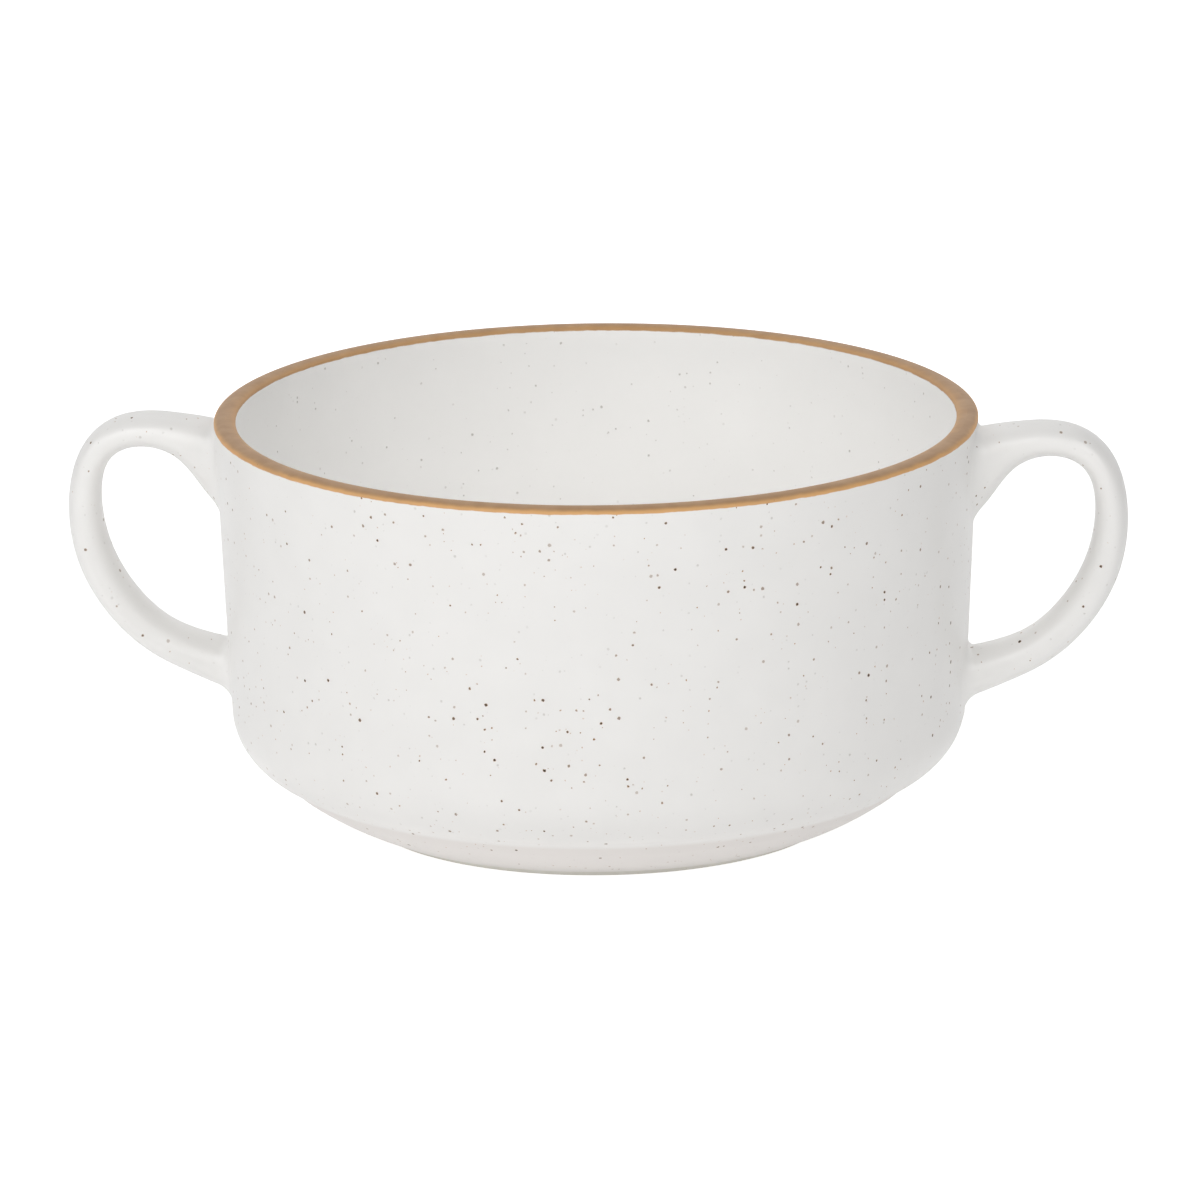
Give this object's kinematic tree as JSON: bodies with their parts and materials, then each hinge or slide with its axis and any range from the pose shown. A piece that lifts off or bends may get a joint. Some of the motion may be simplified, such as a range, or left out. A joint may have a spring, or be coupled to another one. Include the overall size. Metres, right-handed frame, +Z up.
{
  "type": "lug soup bowl",
  "caption": "Round deep soup bowl with a straight wall, a rounded shoulder, a stepped base and a loop handle on each side, in speckled glazed stoneware.",
  "frame": {"origin": "on the bowl's turning axis, at the level of the flat ring that it stands on", "axes": "+Z up along the turning axis, +X through the middle of the right handle"},
  "size_m": [0.1894, 0.136, 0.0735],
  "materials": {
    "bare_clay": "matt",
    "speckled_glaze": "satin",
    "rim_band": "satin"
  },
  "bodies": {
    "root": {"clay_body": "bare_clay", "rim_glaze": "rim_band", "outside_glaze": "speckled_glaze", "inside_glaze": "speckled_glaze", "well_glaze": "speckled_glaze", "right_handle": "bare_clay", "left_handle": "bare_clay", "right_handle_glaze": "speckled_glaze", "left_handle_glaze": "speckled_glaze", "right_upper_slip": "bare_clay", "right_lower_slip": "bare_clay", "left_upper_slip": "bare_clay", "left_lower_slip": "bare_clay"}
  },
  "joints": []
}
